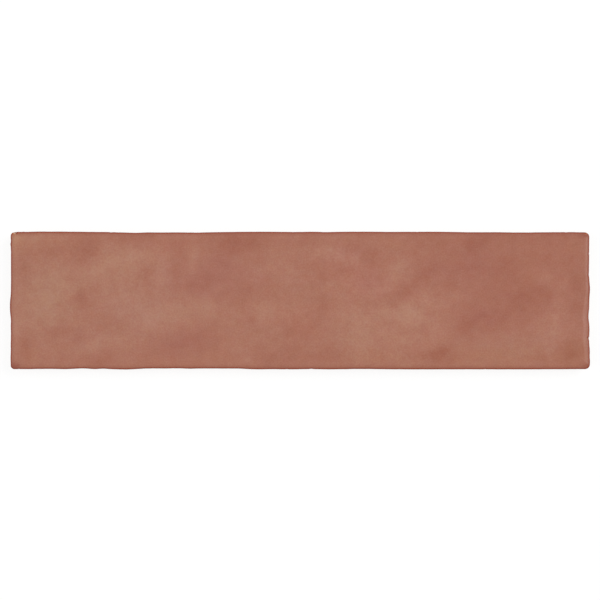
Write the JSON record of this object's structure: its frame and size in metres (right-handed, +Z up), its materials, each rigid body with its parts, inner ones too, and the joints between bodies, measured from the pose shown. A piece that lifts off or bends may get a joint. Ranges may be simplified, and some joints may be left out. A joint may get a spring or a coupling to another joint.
{
  "type": "zellige tile",
  "caption": "Long brick-format zellige tile in a satin terracotta-pink glaze, with waving sides, rounded corners, a gently uneven face and keyed back for bonding to a wall.",
  "frame": {"origin": "middle of the flat back plane that the tile rests on", "axes": "+X along the tile, +Y across it, +Z up out of the glazed face"},
  "size_m": [0.3008, 0.0716, 0.0093],
  "materials": {
    "glazed_clay": "satin"
  },
  "bodies": {
    "root": {"tile": "glazed_clay"}
  },
  "joints": []
}
